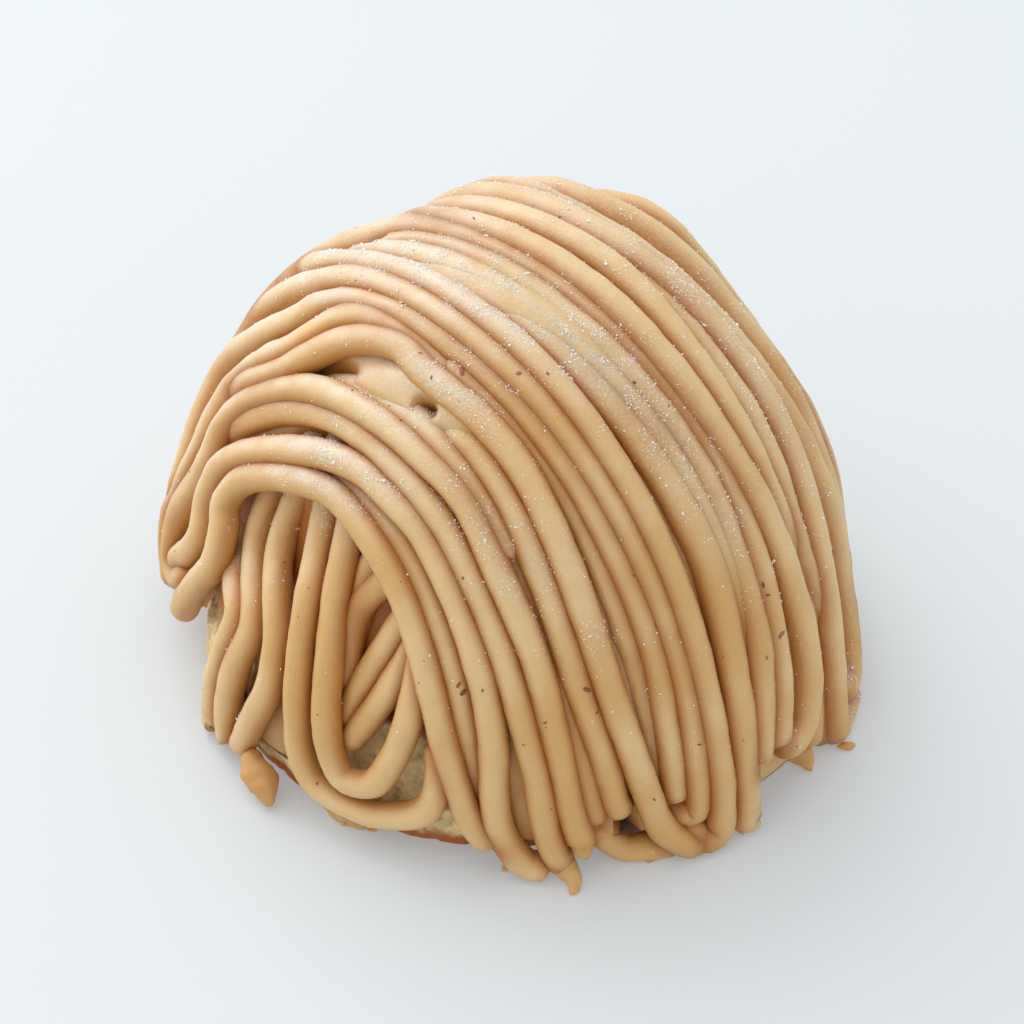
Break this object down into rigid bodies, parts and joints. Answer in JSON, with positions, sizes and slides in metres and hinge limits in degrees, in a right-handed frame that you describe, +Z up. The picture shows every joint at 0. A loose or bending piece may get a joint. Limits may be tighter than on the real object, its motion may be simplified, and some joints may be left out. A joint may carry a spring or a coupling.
{
  "type": "mont blanc",
  "caption": "Domed cake: a round sponge base and whipped cream under draped strands of piped chestnut cream.",
  "frame": {"origin": "middle of the sponge's underside, on the surface that the cake stands on", "axes": "+Z up, -Y towards the front with its hanging loops, +X to the right of the front"},
  "size_m": [0.0778, 0.0741, 0.0586],
  "materials": {
    "sponge": "soft open crumb, browned at its edges",
    "whipped_cream": "soft satin",
    "chestnut_cream": "smooth moist paste with a soft gloss and a dusting of icing sugar"
  },
  "bodies": {
    "root": {"sponge_base": "sponge", "whipped_cream": "whipped_cream", "chestnut_cream": "chestnut_cream"}
  },
  "joints": []
}
